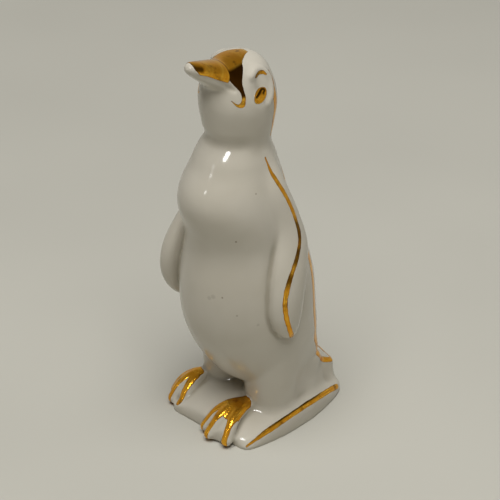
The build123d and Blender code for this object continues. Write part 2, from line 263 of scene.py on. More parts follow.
# Feet: heel, turn, and each toe's reach and spread
left_foot = ((6.2, -6.4), -10.0, ((12.8, -22.0), (13.2, -5.0), (12.2, 21.0)))
right_foot = ((-10.6, -4.6), -24.0, ((9.6, 20.0), (10.8, -1.0), (9.6, -21.0)))
heel_bare = 2.4  # the gold starts this far from the heel
left_heel_half = 1.6
right_heel_half = 0.9
left_toe_half = (1.7, 0.8)  # half width of the gold at the knuckle and at the tip
right_toe_half = (1.0, 0.8)
knuckle_share = 0.3  # shares of a toe's length: the knuckle
narrow_shares = (0.35, 0.8)  # where the gold narrows to the tip
drop_shares = (0.5, 0.9)  # and where it reaches further down
toe_drop = (1.5, 5.0)  # how far down a toe's sides the gold reaches, at the heel and at the tip
toe_steps = 12
above_toes = 15.0
left_web_end = 8.6  # the gold joins the toes up to this far from the heel
right_web_end = 5.6
foot_gold_top = 9.3

# Plinth: corners and middle of its left side, seen from above, and the ball that crowns it
plinth_front_corner = (13.2, -15.2)
plinth_side_middle = (15.9, 1.7)
plinth_rear_corner = (13.2, 19.0)
crown_radius = 36.0
crown_height = 9.0
crown_y = 3.0
left_plinth_line = (-14.8, 19.2)
right_plinth_line = (-5.8, 19.6)
plinth_line_steps = 30
plinth_line_inset = 0.3
plinth_line_width = 1.4
plinth_taper = (8.0, 0.1)
plinth_reflection_span = (-5.0, 9.0, 4.0)  # painted dark reflection: from, to, run-out
plinth_reflection_share = 0.9
plinth_reflection_inward = (0.05, 0.3)

# Glaze
porcelain_colour = (0.57, 0.535, 0.46)
porcelain_shade = (0.46, 0.42, 0.335)
# Pooled glaze in creases, darkened well past that as painted shade
pool_and_crease_shade_colour = (0.37, 0.335, 0.265)
glaze_ior = 1.52
glaze_roughness = (0.1, 0.17)
gloss_scale = 240
gloss_range = (0.3, 0.7)
cloud_scale = 70
cloud_range = (0.35, 0.7)
cloud_share = 0.35
pool_and_shade_range = (0.03, 0.6)
pool_and_shade_share = 0.9
glaze_bump = 0.12
glaze_bump_depth = 0.0003
glaze_bump_scale = 160

# Specks fired into the glaze: place, radius, darkness
speck_colour = (0.16, 0.12, 0.08)
speck_core = 0.4  # share of the radius that is fully dark
specks = [
    ((9.1, -14.1, 57.9), 0.32, 0.8), ((10.8, -9.2, 69.3), 0.28, 0.6), ((6.9, -16.6, 42.7), 0.34, 0.6),
    ((4.8, -17.6, 42.5), 0.8, 0.2), ((3.8, -17.9, 41.9), 0.7, 0.2), ((9.9, -14.7, 38.1), 0.3, 0.5),
    ((13.1, -10.8, 35.2), 0.5, 0.2),
]

# Lustre
gold_colour = (0.70, 0.31, 0.02)
gold_pale = (0.88, 0.50, 0.06)
gold_brown = (0.13, 0.05, 0.006)
# Colour of the painted dark reflections on the gold
gold_dark_reflection = (0.055, 0.02, 0.002)
streak_stretch = (0.35, 4.2, 1.0)  # along the stroke, across it, and with the share of painted dark reflection
streak_detail = 4.0
pale_range = (0.42, 0.72)
worn_scale = 420
worn_detail = 3.0
worn_range = (0.56, 0.72)
worn_share = 0.6
thin_range = (0.0, 0.16)  # distance from the film's edge
thin_share = 0.7
gold_roughness = (0.14, 0.3)
gold_roughness_range = (0.3, 0.75)
gold_bump = 0.3
gold_bump_depth = 0.00008

# Floor and backdrop
half_floor = 1.6
floor_colour = (0.55, 0.54, 0.485)
floor_shade = 0.95
floor_cloud_scale = 9
floor_cloud_range = (0.3, 0.7)
floor_roughness = 0.95
floor_gloss = 0.1
floor_fade = (0.3, 0.8)  # distance over which the floor turns into the backdrop
backdrop_colour = (0.48, 0.47, 0.41)
ceiling_colour = (0.30, 0.29, 0.26)
ceiling_range = (0.35, 0.75)  # upward share of a direction, from backdrop to ceiling
fill_colour = (1.0, 0.93, 0.78)
fill_strength = 0.06

# Lamps: azimuth, elevation, distance, size and power
overhead_lamp = (40, 74, 1.2, 0.9, 16.5)
overhead_colour = (1.0, 0.99, 0.965)
window_lamp = (14, 46, 0.9, 0.16, 2.4)
spark_lamp = (-11, 22.5, 0.9, 0.03, 0.12)
lamp_aim = (0.0, 0.0, 0.05)

# Camera
camera_azimuth = 44.0
camera_elevation = 30.5
camera_distance = 450.0
camera_target = (0.0, 0.0, 46.0)
camera_lens = 133.2
camera_sensor = 36.0
camera_near = 10.0


def smooth_step(value, low, high):
    """0 below low, 1 above high, smooth between."""
    share = np.clip((value - low) / (high - low), 0, 1)
    return share * share * (3 - 2 * share)


def between(value, low, high, soft):
    """1 from low to high, falling to 0 over soft outside them."""
    return smooth_step(value, low - soft, low) * (1 - smooth_step(value, high, high + soft))


def bell(gap, radius):
    """1 at the middle, falling smoothly to 0 at radius."""
    return 1 - smooth_step(gap, 0, radius)


def curve_through(points, steps=12):
    """Points along a smooth line through the given points."""
    points = np.array(points, float)
    ends = np.vstack([2 * points[0] - points[1], points, 2 * points[-1] - points[-2]])
    share = np.linspace(0, 1, steps, endpoint=False)[:, None]
    line = []
    for before, start, end, after in zip(ends, ends[1:], ends[2:], ends[3:]):
        bend = 2 * before - 5 * start + 4 * end - after
        twist = 3 * start - before - 3 * end + after
        line.append(start + 0.5 * share * (end - before + share * (bend + share * twist)))
    return np.vstack([*line, points[-1:]])


def line_distance(points, line):
    """Distance from each point to a line, and how far along the line the nearest place is."""
    starts = line[:-1]
    runs = line[1:] - starts
    lengths = np.linalg.norm(runs, axis=1)
    before = np.concatenate([[0], np.cumsum(lengths)[:-1]])
    best = np.full(len(points), np.inf)
    along = np.zeros(len(points))
    for start, run, length, offset in zip(starts, runs, lengths, before):
        share = np.clip((points - start) @ run / (length * length), 0, 1)
        gap = np.linalg.norm(points - start - share[:, None] * run, axis=1)
        nearer = gap < best
        best[nearer] = gap[nearer]
        along[nearer] = (offset + share * length)[nearer]
    return best, along


def inside_outline(points, outline):
    """Signed distance to a closed flat outline, positive inside."""
    closed = np.vstack([outline, outline[:1]])
    gap, along = line_distance(points, closed)
    crossings = np.zeros(len(points), int)
    for start, end in zip(closed, closed[1:]):
        spans = (start[1] > points[:, 1]) != (end[1] > points[:, 1])
        if start[1] != end[1]:
            at = start[0] + (points[:, 1] - start[1]) * (end[0] - start[0]) / (end[1] - start[1])
            crossings += spans & (points[:, 0] < at)
    return np.where(crossings % 2 == 1, gap, -gap)


def oval_gap(seen, spot, half):
    """Distance from an oval's middle, 1 on the oval itself."""
    return np.hypot(*((seen - np.array(spot)) / half).T)


def ripple(points, size, seed):
    """Smooth unevenness between -1 and 1 that repeats about every size."""
    draws = np.random.RandomState(seed)
    total = np.zeros(len(points))
    for index in range(ripple_waves):
        wave = draws.normal(size=3)
        wave *= 2 * math.pi / (size * (ripple_first + ripple_step * index) * np.linalg.norm(wave))
        total += np.sin(points @ wave + draws.uniform(0, 2 * math.pi))
    return total / ripple_waves


def ragged(points, evenness, seed):
    """Unevenness of a film's edge."""
    amount, size = evenness
    return amount * ripple(points, size, seed)


def toes_of(heel, foot_turn, toes):
    """Middle lines of a foot's toes, seen from above."""
    lines = []
    for reach_out, spread in toes:
        heading = math.radians(foot_turn + spread)
        away = np.array([math.sin(heading), -math.cos(heading)])
        lines.append(np.array([heel + away * heel_bare, heel + away * reach_out]))
    return lines


def draw_out_corners(spots):
    """Draws the tail's corners and roots outwards."""
    moved = spots.copy()
    root_x, root_y, root_z = root_spot
    for side in (1, -1):
        gap = np.hypot(spots[:, 0] * side - corner_spot[0], spots[:, 1] - corner_spot[1])
        share = bell(gap, corner_room) * (1 - smooth_step(spots[:, 2], *corner_top))
        moved[:, 0] += side * corner_pull[0] * share
        moved[:, 1] += corner_pull[1] * share
        share = bell(np.linalg.norm(spots - (side * root_x, root_y, root_z), axis=1), root_room)
        moved[:, 0] += side * root_pull[0] * share
        moved[:, 1] += root_pull[1] * share
    return moved


def head_view(points):
    """Distance in front of the head's axis, height, and distance to its left."""
    turn = math.radians(head_turn)
    forward = np.array([-math.sin(turn), -math.cos(turn), 0])
    leftward = np.array([math.cos(turn), -math.sin(turn), 0])
    local = points - np.array([0, head_y, 0])
    return np.column_stack([local @ forward, local[:, 2], local @ leftward])


def tree_of(name):
    """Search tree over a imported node's surface."""
    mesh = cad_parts[name].data
    corners = [vertex.co / mm for vertex in mesh.vertices]
    return BVHTree.FromPolygons(corners, [face.vertices[:] for face in mesh.polygons])


toe_lines = toes_of(*left_foot) + toes_of(*right_foot)
tail_line = curve_through(tail_rim + [(-x, y, z) for x, y, z in reversed(tail_rim[:-1])], tail_steps)
right_wing_stroke = [(y + swing, z) for (y, z), swing in zip(left_wing_stroke, right_wing_swing)]


# Skin
def join_nodes(names):
    """One mesh that holds copies of the named nodes' faces."""
    form = bmesh.new()
    for name in names:
        form.from_mesh(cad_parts[name].data)
    mesh = bpy.data.meshes.new("porcelain_soup")
    form.to_mesh(mesh)
    form.free()
    return mesh


def cast(mesh, size):
    """The outside of a mesh of touching closed forms, as even facets."""
    soup = bpy.data.objects.new("porcelain_soup", mesh)
    scene.collection.objects.link(soup)
    remesh = soup.modifiers.new("cast", "REMESH")
    remesh.mode = "VOXEL"
    remesh.voxel_size = size * mm
    bpy.context.view_layer.update()
    result = bpy.data.meshes.new_from_object(soup.evaluated_get(bpy.context.evaluated_depsgraph_get()))
    bpy.data.objects.remove(soup)
    return result


def keep_outside(mesh):
    """Shuts the vent a little way in and drops the hollow behind it."""
    form = bmesh.new()
    form.from_mesh(mesh)
    in_vent = []
    for vertex in form.verts:
        x, y, z = vertex.co / mm
        if math.hypot(x, y - vent_y) < vent_radius + grain and vent_depth < z < vent_end:
            in_vent.append(vertex)
    bmesh.ops.delete(form, geom=in_vent, context="VERTS")
    top = max(form.verts, key=lambda vertex: vertex.co.z)
    reached = {top}
    edge_of_reach = [top]
    while edge_of_reach:
        vertex = edge_of_reach.pop()
        for edge in vertex.link_edges:
            other = edge.other_vert(vertex)
            if other not in reached:
                reached.add(other)
                edge_of_reach.append(other)
    hidden = [vertex for vertex in form.verts if vertex not in reached]
    bmesh.ops.delete(form, geom=hidden, context="VERTS")
    bmesh.ops.holes_fill(form, edges=[edge for edge in form.edges if edge.is_boundary])
    form.to_mesh(mesh)
    form.free()


def relax(points, edges, weight, rounds):
    """Moves each point towards the middle of its neighbours, half way at full weight."""
    count = np.bincount(edges.ravel(), minlength=len(points))[:, None]
    for again in range(rounds):
        total = np.zeros_like(points)
        for axis in range(3):
            total[:, axis] = np.bincount(edges[:, 0], points[edges[:, 1], axis], len(points))
            total[:, axis] += np.bincount(edges[:, 1], points[edges[:, 0], axis], len(points))
        points = points + weight[:, None] * 0.5 * (total / count - points)
    return points


def read_mesh(mesh):
    """Points in millimetres, edges and normals."""
    points = np.empty(len(mesh.vertices) * 3)
    mesh.vertices.foreach_get("co", points)
    edges = np.empty(len(mesh.edges) * 2, np.int64)
    mesh.edges.foreach_get("vertices", edges)
    normals = np.empty(len(mesh.vertices) * 3, np.float32)
    mesh.vertex_normals.foreach_get("vector", normals)
    return points.reshape(-1, 3) / mm, edges.reshape(-1, 2), normals.reshape(-1, 3).astype(float)


def write_points(mesh, points):
    """Puts points in millimetres back on a mesh."""
    mesh.vertices.foreach_set("co", (points * mm).astype(np.float32).ravel())
    mesh.update()


def softened(points, edges):
    """The cast skin with its edges rounded by glaze, and firmer where the figure has detail."""
    height = points[:, 2]
    ahead = head_view(points)[:, 0]
    on_beak = smooth_step(ahead, *beak_reach) * (height > face_low)
    on_face = smooth_step(ahead, *face_reach) * (height > face_low)
    low = 1 - smooth_step(height, *low_heights)
    on_plinth = 1 - smooth_step(height, *plinth_heights)
    on_wing = smooth_step(np.abs(points[:, 0]), *wing_out) * between(height, *wing_heights)
    toe_gap = np.min([line_distance(points[:, :2], line)[0] for line in toe_lines], axis=0)
    on_toes = (1 - smooth_step(toe_gap, *toe_reach)) * (height < toe_top)
    on_rim = 1 - smooth_step(line_distance(points, tail_line)[0], *rim_reach)
    sole = height < sole_height

    softness = np.maximum(1 - firm_low * low - firm_wing * on_wing, plinth_soft * on_plinth)
    softness = np.minimum(softness, 1 - firm_face * on_face - firm_beak * on_beak)
    softness = np.minimum(softness, 1 - firm_detail * np.maximum(on_toes, on_rim))
    points = relax(points, edges, np.clip(softness, least_soft, 1), soft_rounds)

    rear_x, rear_y = plinth_rear_corner
    rear_gap = np.hypot(np.abs(points[:, 0]) - rear_x, points[:, 1] - rear_y)
    on_edge = between(points[:, 2], *edge_heights) * (1 - on_toes) * (1 - on_rim)
    on_edge *= 1 - bell(rear_gap, rear_corner_room)
    points = relax(points, edges, on_edge, edge_rounds)

    on_flank = between(points[:, 1], *flank_depths) * between(points[:, 2], *flank_heights)
    on_flank *= smooth_step(np.abs(points[:, 0]), *flank_out) * (1 - on_rim)
    points = relax(points, edges, on_flank, flank_rounds)

    settled = relax(points, edges, np.ones(len(points)), wing_edge_rounds)
    points = points + wing_edge * on_wing[:, None] * (points - settled)
    points = draw_out_corners(points)
    points[sole, 2] = np.minimum(points[sole, 2], sole_slack)
    points[:, 2] = np.maximum(points[:, 2], 0)
    return points


def face_relief(points):
    """How far each point rises where head and neck are modelled."""
    ahead = head_view(points)
    seen = ahead[:, :2]
    out = np.abs(ahead[:, 2])
    on_head = points[:, 2] > head_base
    cheek = on_head & (out > cheek_out)
    ridge_gap, along = line_distance(seen, curve_through(eye_ridge))
    mouth_gap, along = line_distance(seen, curve_through(mouth_groove))
    rise = -socket_depth * bell(oval_gap(seen, socket_spot, socket_half), 1.0) * cheek
    rise += eyeball_rise * bell(oval_gap(seen, eye_spot, eyeball_half), 1.0) * cheek
    rise += eye_ridge_rise * bell(ridge_gap, eye_ridge_half) * cheek
    rise -= mouth_depth * bell(mouth_gap, mouth_half) * on_head * (out > mouth_out)
    height = points[:, 2] - neck_height
    rise -= neck_depth * bell(np.abs(height), neck_half)
    fold = fold_rise * bell(np.abs(height + fold_gap), fold_half)
    fold -= crease_depth * bell(np.abs(height - fold_gap), crease_half)
    return rise + fold * smooth_step(ahead[:, 0], *throat_reach)


skin = cast(join_nodes(ceramic_nodes), grain)
keep_outside(skin)
points, edges, normals = read_mesh(skin)
write_points(skin, softened(points, edges))
points, edges, normals = read_mesh(skin)
on_head = points[:, 2] > head_base
points = points + normals * face_relief(points)[:, None]
write_points(skin, relax(points, edges, face_soft * on_head, face_rounds))
points, edges, normals = read_mesh(skin)

# Hollows of the glazed skin, for the tint of pooled glaze and the painted shade in creases
settled = relax(points, edges, np.ones(len(points)), hollow_rounds)
hollow = np.clip(((settled - points) * normals).sum(axis=1) / hollow_depth, -1, 1)
marks = skin.attributes.new("hollow", "FLOAT", "POINT")
marks.data.foreach_set("value", hollow.astype(np.float32))
for face in skin.polygons:
    face.use_smooth = True
quads = np.array([face.vertices[:] for face in skin.polygons if len(face.vertices) == 4])
skin_tree = BVHTree.FromPolygons(points.tolist(), quads.tolist())
porcelain = bpy.data.objects.new("porcelain", skin)
scene.collection.objects.link(porcelain)
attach(porcelain, "root")
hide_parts(*ceramic_nodes)


def laid_on_skin(line):
    """A line brought out to the drawn-out tail and laid on the skin."""
    return np.array([skin_tree.find_nearest(spot)[0] for spot in draw_out_corners(line)])


# Materials
mix_factor, mix_first, mix_second, mix_result = 0, 6, 7, 2  # sockets of a mix of two colours


def new_material(name):
    """A new material, its node tree and its shader."""
    material = bpy.data.materials.new(name)
    material.use_nodes = True
    return material, material.node_tree, material.node_tree.nodes["Principled BSDF"]


def mix_colour(tree, factor, first, second):
    """A colour between two, by factor."""
    mix = tree.nodes.new("ShaderNodeMix")
    mix.data_type = "RGBA"
    tree.links.new(factor, mix.inputs[mix_factor])
    for socket, colour in ((mix.inputs[mix_first], first), (mix.inputs[mix_second], second)):
        if isinstance(colour, tuple):
            socket.default_value = (*colour, 1)
        else:
            tree.links.new(colour, socket)
    return mix.outputs[mix_result]


def remap(tree, value, from_range, to_range):
    """A value carried from one range to another, with soft ends."""
    node = tree.nodes.new("ShaderNodeMapRange")
    node.interpolation_type = "SMOOTHSTEP"
    tree.links.new(value, node.inputs["Value"])
    for kind, ends in (("From", from_range), ("To", to_range)):
        node.inputs[f"{kind} Min"].default_value = ends[0]
        node.inputs[f"{kind} Max"].default_value = ends[1]
    return node.outputs["Result"]


def noise_of(tree, vector, scale, detail=2.0):
    """Noise over a vector."""
    texture = tree.nodes.new("ShaderNodeTexNoise")
    tree.links.new(vector, texture.inputs["Vector"])
    texture.inputs["Scale"].default_value = scale
    texture.inputs["Detail"].default_value = detail
    return texture.outputs["Fac"]


def combine(tree, operation, first, second):
    """A number made from two."""
    node = tree.nodes.new("ShaderNodeMath")
    node.operation = operation
    tree.links.new(first, node.inputs[0])
    tree.links.new(second, node.inputs[1])
    return node.outputs["Value"]


def mix_shaders(tree, factor, first, second, output):
    """Leads a mix of two shaders, by factor, to the tree's output."""
    choice = tree.nodes.new("ShaderNodeMixShader")
    tree.links.new(factor, choice.inputs["Fac"])
    tree.links.new(first, choice.inputs[1])
    tree.links.new(second, choice.inputs[2])
    tree.links.new(choice.outputs["Shader"], tree.nodes[output].inputs["Surface"])


def roughen(tree, shader, height, strength, depth):
    """Fine unevenness of a surface."""
    bump = tree.nodes.new("ShaderNodeBump")
    bump.inputs["Strength"].default_value = strength
    bump.inputs["Distance"].default_value = depth
    tree.links.new(height, bump.inputs["Height"])
    tree.links.new(bump.outputs["Normal"], shader.inputs["Normal"])


def attribute_of(tree, name):
    """A value stored on the mesh."""
    node = tree.nodes.new("ShaderNodeAttribute")
    node.attribute_name = name
    return node


def porcelain_material():
    """Warm white glaze with pooled tint darkened into painted shade in creases, faint clouding, small
    specks and a barely uneven surface.
    """
    material, tree, shader = new_material("porcelain_glaze")
    place = tree.nodes.new("ShaderNodeTexCoord").outputs["Object"]
    cloud = remap(tree, noise_of(tree, place, cloud_scale), cloud_range, (0, cloud_share))
    pooled_and_shaded = remap(tree, attribute_of(tree, "hollow").outputs["Fac"], pool_and_shade_range, (0, pool_and_shade_share))
    tint = mix_colour(tree, cloud, porcelain_colour, porcelain_shade)
    # Glaze pooled in hollows, darkened further to paint the shade in creases
    tint = mix_colour(tree, pooled_and_shaded, tint, pool_and_crease_shade_colour)
    for spot, size, depth in specks:
        gap = tree.nodes.new("ShaderNodeVectorMath")
        gap.operation = "DISTANCE"
        tree.links.new(place, gap.inputs[0])
        gap.inputs[1].default_value = [part * mm for part in spot]
        dot = remap(tree, gap.outputs["Value"], (speck_core * size * mm, size * mm), (depth, 0))
        tint = mix_colour(tree, dot, tint, speck_colour)
    tree.links.new(tint, shader.inputs["Base Color"])
    roughness = remap(tree, noise_of(tree, place, gloss_scale), gloss_range, glaze_roughness)
    tree.links.new(roughness, shader.inputs["Roughness"])
    roughen(tree, shader, noise_of(tree, place, glaze_bump_scale), glaze_bump, glaze_bump_depth)
    shader.inputs["IOR"].default_value = glaze_ior
    return material


def gold_material():
    """Burnished lustre laid on with a brush: streaks along the stroke, brown thin edges, worn patches, and
    painted dark reflections where the film marks them.
    """
    material, tree, shader = new_material("gold_lustre")
    place = tree.nodes.new("ShaderNodeTexCoord").outputs["Object"]
    stroke = attribute_of(tree, "stroke").outputs["Vector"]
    stretch = tree.nodes.new("ShaderNodeMapping")
    stretch.inputs["Scale"].default_value = streak_stretch
    tree.links.new(stroke, stretch.inputs["Vector"])
    parts = tree.nodes.new("ShaderNodeSeparateXYZ")
    tree.links.new(stroke, parts.inputs["Vector"])
    streak = noise_of(tree, stretch.outputs["Vector"], 1.0, streak_detail)
    pale = remap(tree, streak, pale_range, (0, 1))
    worn = remap(tree, noise_of(tree, place, worn_scale, worn_detail), worn_range, (0, worn_share))
    thin = remap(tree, parts.outputs["Y"], thin_range, (thin_share, 0))
    colour = mix_colour(tree, pale, gold_colour, gold_pale)
    colour = mix_colour(tree, worn, colour, gold_brown)
    colour = mix_colour(tree, thin, colour, gold_brown)
    # Painted dark reflections, from the film's third stroke value
    colour = mix_colour(tree, parts.outputs["Z"], colour, gold_dark_reflection)
    tree.links.new(colour, shader.inputs["Base Color"])
    shader.inputs["Metallic"].default_value = 1.0
    roughness = remap(tree, streak, gold_roughness_range, gold_roughness)
    tree.links.new(roughness, shader.inputs["Roughness"])
    roughen(tree, shader, streak, gold_bump, gold_bump_depth)
    return material


def backdrop_rays(tree):
    """1 for the rays that see the backdrop: the camera's, and those in reflections and in glass."""
    rays = tree.nodes.new("ShaderNodeLightPath").outputs
    mirrored = combine(tree, "MAXIMUM", rays["Is Glossy Ray"], rays["Is Transmission Ray"])
    return combine(tree, "MAXIMUM", rays["Is Camera Ray"], mirrored)


def floor_material():
    """Pale matt floor with faint clouding, which turns into the backdrop so that no horizon is seen."""
    material, tree, shader = new_material("pale_floor")
    place = tree.nodes.new("ShaderNodeTexCoord").outputs["Object"]
    cloud = remap(tree, noise_of(tree, place, floor_cloud_scale), floor_cloud_range, (0, 1))
    darker = tuple(floor_shade * part for part in floor_colour)
    tree.links.new(mix_colour(tree, cloud, floor_colour, darker), shader.inputs["Base Color"])
    shader.inputs["Roughness"].default_value = floor_roughness
    shader.inputs["Specular IOR Level"].default_value = floor_gloss
    away = tree.nodes.new("ShaderNodeVectorMath")
    away.operation = "LENGTH"
    tree.links.new(place, away.inputs[0])
    far = remap(tree, away.outputs["Value"], floor_fade, (0, 1))
    backdrop = tree.nodes.new("ShaderNodeEmission")
    backdrop.inputs["Color"].default_value = (*backdrop_colour, 1)
    share = combine(tree, "MULTIPLY", far, backdrop_rays(tree))
    mix_shaders(tree, share, shader.outputs["BSDF"], backdrop.outputs["Emission"], "Material Output")
    return material


gold = gold_material()
porcelain.data.materials.append(porcelain_material())


# Gold film
def refined(chosen):
    """Finer facets over the chosen facets of the skin: points, normals and triangles."""
    steps = np.linspace(0, 1, refine + 1)
    across, up = np.meshgrid(steps, steps)
    across = across.ravel()[None, :, None]
    up = up.ravel()[None, :, None]
    corners = quads[chosen]
    shares = [(1 - across) * (1 - up), across * (1 - up), across * up, (1 - across) * up]
    spots = sum(share * points[corners[:, index]][:, None, :] for index, share in enumerate(shares))
    facing = sum(share * normals[corners[:, index]][:, None, :] for index, share in enumerate(shares))
    spots = spots.reshape(-1, 3)
    facing = facing.reshape(-1, 3)
    grid = np.round(spots * weld_grid).astype(np.int64)
    keys, first, place = np.unique(grid, axis=0, return_index=True, return_inverse=True)
    place = place.reshape(len(corners), -1)
    row = refine + 1
    triangles = []
    for j in range(refine):
        for i in range(refine):
            a, b = j * row + i, j * row + i + 1
            c, d = (j + 1) * row + i + 1, (j + 1) * row + i
            triangles.append(place[:, [a, b, c]])
            triangles.append(place[:, [a, c, d]])
    facing = facing[first]
    facing /= np.linalg.norm(facing, axis=1)[:, None]
    return spots[first], facing, np.vstack(triangles)


def trimmed(triangles, value):
    """Triangles cut where value is 0, and the pairs of old corners that each new corner lies between."""
    inside = value[triangles] > 0
    whole = triangles[inside.all(axis=1)].tolist()
    mixed = triangles[inside.any(axis=1) & ~inside.all(axis=1)]
    cuts = {}

    def cut(a, b):
        key = (min(a, b), max(a, b))
        if key not in cuts:
            cuts[key] = len(value) + len(cuts)
        return cuts[key]

    for corners in mixed.tolist():
        while not (value[corners[0]] > 0 and value[corners[2]] <= 0):
            corners = corners[1:] + corners[:1]
        a, b, c = corners
        if value[b] > 0:
            whole.append([a, b, cut(b, c)])
            whole.append([a, cut(b, c), cut(a, c)])
        else:
            whole.append([a, cut(a, b), cut(a, c)])
    return np.array(whole), list(cuts)


def with_cuts(rows, pairs, share):
    """Rows of the old corners, followed by those of the new corners between two old ones."""
    if rows.ndim == 2:
        share = share[:, None]
    return np.concatenate([rows, rows[pairs[:, 0]] * (1 - share) + rows[pairs[:, 1]] * share])


def rim_of(triangles):
    """The sides that only one triangle has, in that triangle's direction."""
    sides = triangles[:, [0, 1, 1, 2, 2, 0]].reshape(-1, 2)
    keys, place, count = np.unique(np.sort(sides, axis=1), axis=0, return_inverse=True, return_counts=True)
    return sides[count[place.ravel()] == 1]


def film_mesh(name, spots, facing, value, triangles):
    """A closed film over triangles of the skin, thinner towards its edge."""
    size = len(spots)
    swell = film_rise * (film_edge + (1 - film_edge) * smooth_step(value, 0, film_slope))
    top = spots + facing * swell[:, None]
    bottom = spots - facing * film_root
    faces = triangles.tolist()
    faces += (triangles[:, ::-1] + size).tolist()
    faces += [[a, a + size, b + size, b] for a, b in rim_of(triangles).tolist()]
    mesh = bpy.data.meshes.new(name)
    mesh.from_pydata((np.vstack([top, bottom]) * mm).tolist(), [], faces)
    mesh.update()
    for face in mesh.polygons:
        face.use_smooth = True
    return mesh


def gild(name, field, dark_reflection=None):
    """A thin closed gold film on the skin wherever field is above 0, with painted dark reflections where
    the given function marks them.
    """
    low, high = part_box(name)
    near = (points > np.array(low) / mm - film_room) & (points < np.array(high) / mm + film_room)
    near = near.all(axis=1)
    value = np.full(len(points), far_outside)
    value[near] = field(points[near], normals[near])[0]
    spots, facing, triangles = refined((value[quads] > -film_margin).any(axis=1))
    value, along = field(spots, facing)
    triangles, cuts = trimmed(triangles, value)
    if cuts:
        pairs = np.array(cuts)
        first, second = value[pairs[:, 0]], value[pairs[:, 1]]
        share = first / (first - second)
        spots = with_cuts(spots, pairs, share)
        facing = with_cuts(facing, pairs, share)
        along = with_cuts(along, pairs, share)
        value = np.concatenate([value, np.zeros(len(pairs))])
    used, triangles = np.unique(triangles, return_inverse=True)
    triangles = triangles.reshape(-1, 3)
    spots, facing, value, along = spots[used], facing[used], value[used], along[used]
    mesh = film_mesh(name, spots, facing, value, triangles)
    # Share of painted dark reflection at each point of the film
    reflected_dark = dark_reflection(spots) if dark_reflection else np.zeros(len(spots))
    rows = np.column_stack([along, value, reflected_dark])
    stroke = mesh.attributes.new("stroke", "FLOAT_VECTOR", "POINT")
    stroke.data.foreach_set("vector", np.vstack([rows, rows]).astype(np.float32).ravel())
    film = bpy.data.objects.new(f"{name}_film", mesh)
    scene.collection.objects.link(film)
    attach(film, "root")
    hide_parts(name)
    film.data.materials.append(gold)


def stroke_field(line, view, keep, width, taper, seed):
    """Field of a brush stroke along a line, seen through view, where keep holds."""
    length = np.linalg.norm(np.diff(line, axis=0), axis=1).sum()

    def field(spots, facing):
        gap, along = line_distance(view(spots), line)
        start = smooth_step(along, -stroke_lead, taper[0])
        end = smooth_step(length - along, -stroke_lead, taper[1])
        half = 0.5 * width * (stroke_end + (1 - stroke_end) * np.minimum(start, end))
        coarse, fine = stroke_ragged
        uneven = ragged(spots, coarse, seed) + ragged(spots, fine, seed + 1)
        return np.where(keep(spots, facing), half + uneven - gap, far_outside), along

    return field


def side_view(spots):
    """Y and height."""
    return spots[:, 1:]


def back_view(spots):
    """X and height."""
    return spots[:, [0, 2]]


def front_head_view(spots):
    """Distance in front of the head's axis, and height."""
    return head_view(spots)[:, :2]


def whole_view(spots):
    """The points as they are."""
    return spots


# Mask on beak and face
head_tree = tree_of("head_shell")
face_outline = np.vstack([curve_through(mask_back), curve_through(mask_front)[1:], mask_reach])
beak_outline = np.vstack([curve_through(mouth_line), curve_through(worn_edge)[1:], beak_above])


def mask_view(spots):
    """Distance in front of the head's axis, and length down either side from the crown's middle line."""
    ahead = head_view(spots)
    roll = np.arctan2(np.abs(ahead[:, 2]), ahead[:, 1] - roll_height)
    lead = right_mask_lead * smooth_step(-ahead[:, 2], *right_mask_out)
    return np.column_stack([ahead[:, 0] - lead, roll_radius * roll])


def above_head(spots):
    """How far each point stands off the round head, negative where there is no beak."""
    ahead = head_view(spots)
    gaps = np.full(len(spots), -1.0)
    for index in np.nonzero((ahead[:, 0] > beak_start) & (ahead[:, 1] > face_low))[0]:
        gaps[index] = head_tree.find_nearest(spots[index])[3]
    return gaps


def mask_field(view, outline, side_of_crease):
    """An outline seen through view, cut at the crease between beak and face."""
    def field(spots, facing):
        value = inside_outline(view(spots), outline) + ragged(spots, mask_ragged, mask_seed)
        value = np.minimum(value, spots[:, 2] - face_low)
        near = value > -mask_margin
        crease = np.full(len(spots), far_outside)
        crease[near] = (above_head(spots[near]) - beak_crease) * side_of_crease
        return np.minimum(np.minimum(value, crease), mask_full), spots[:, 2] - spots[:, 1]
    return field


def tip_dark_reflection(spots):
    """Painted dark reflection where the gold is worn through at the beak's tip."""
    gap, along = line_distance(front_head_view(spots), curve_through(tip_reflection_line))
    return tip_reflection_share * bell(gap - tip_reflection_core, tip_reflection_half)


def mask_dark_reflection(spots):
    """Painted dark reflection: a brown band on the cheeks behind the beak."""
    return between(mask_view(spots)[:, 1], *mask_reflection_band)


gild("beak_gilding", mask_field(front_head_view, beak_outline, 1), tip_dark_reflection)
gild("face_gilding", mask_field(mask_view, face_outline, -1), mask_dark_reflection)


# Eyes, brows and lines on both sides
eye_axes = np.linalg.inv(np.array([eye_up, eye_back]))


def on_cheek(side):
    """Holds for one side of the head."""
    def keep(spots, facing):
        return (head_view(spots)[:, 2] * side > cheek_out) & (spots[:, 2] > head_base)
    return keep


def on_side(side, low, high):
    """Holds for the outer surface on one side, between two heights."""
    def keep(spots, facing):
        in_span = (spots[:, 2] > low) & (spots[:, 2] < high)
        return in_span & (spots[:, 0] * side > middle_room) & (facing[:, 0] * side > outward)
    return keep


def on_back(side):
    """Holds for the back on one side."""
    def keep(spots, facing):
        behind = (spots[:, 1] > tail_axis_y) & (facing[:, 1] > outward)
        return behind & (spots[:, 0] * side > middle_room)
    return keep


def beside(name, side):
    """Holds for the outer surface close to a CAD film."""
    tree = tree_of(name)

    def keep(spots, facing):
        room = np.where(spots[:, 2] < wing_tip_height, wing_tip_room, wing_line_room)
        gaps = np.array([tree.find_nearest(spot)[3] for spot in spots])
        return (gaps < room) & (facing[:, 0] * side > outward)
    return keep


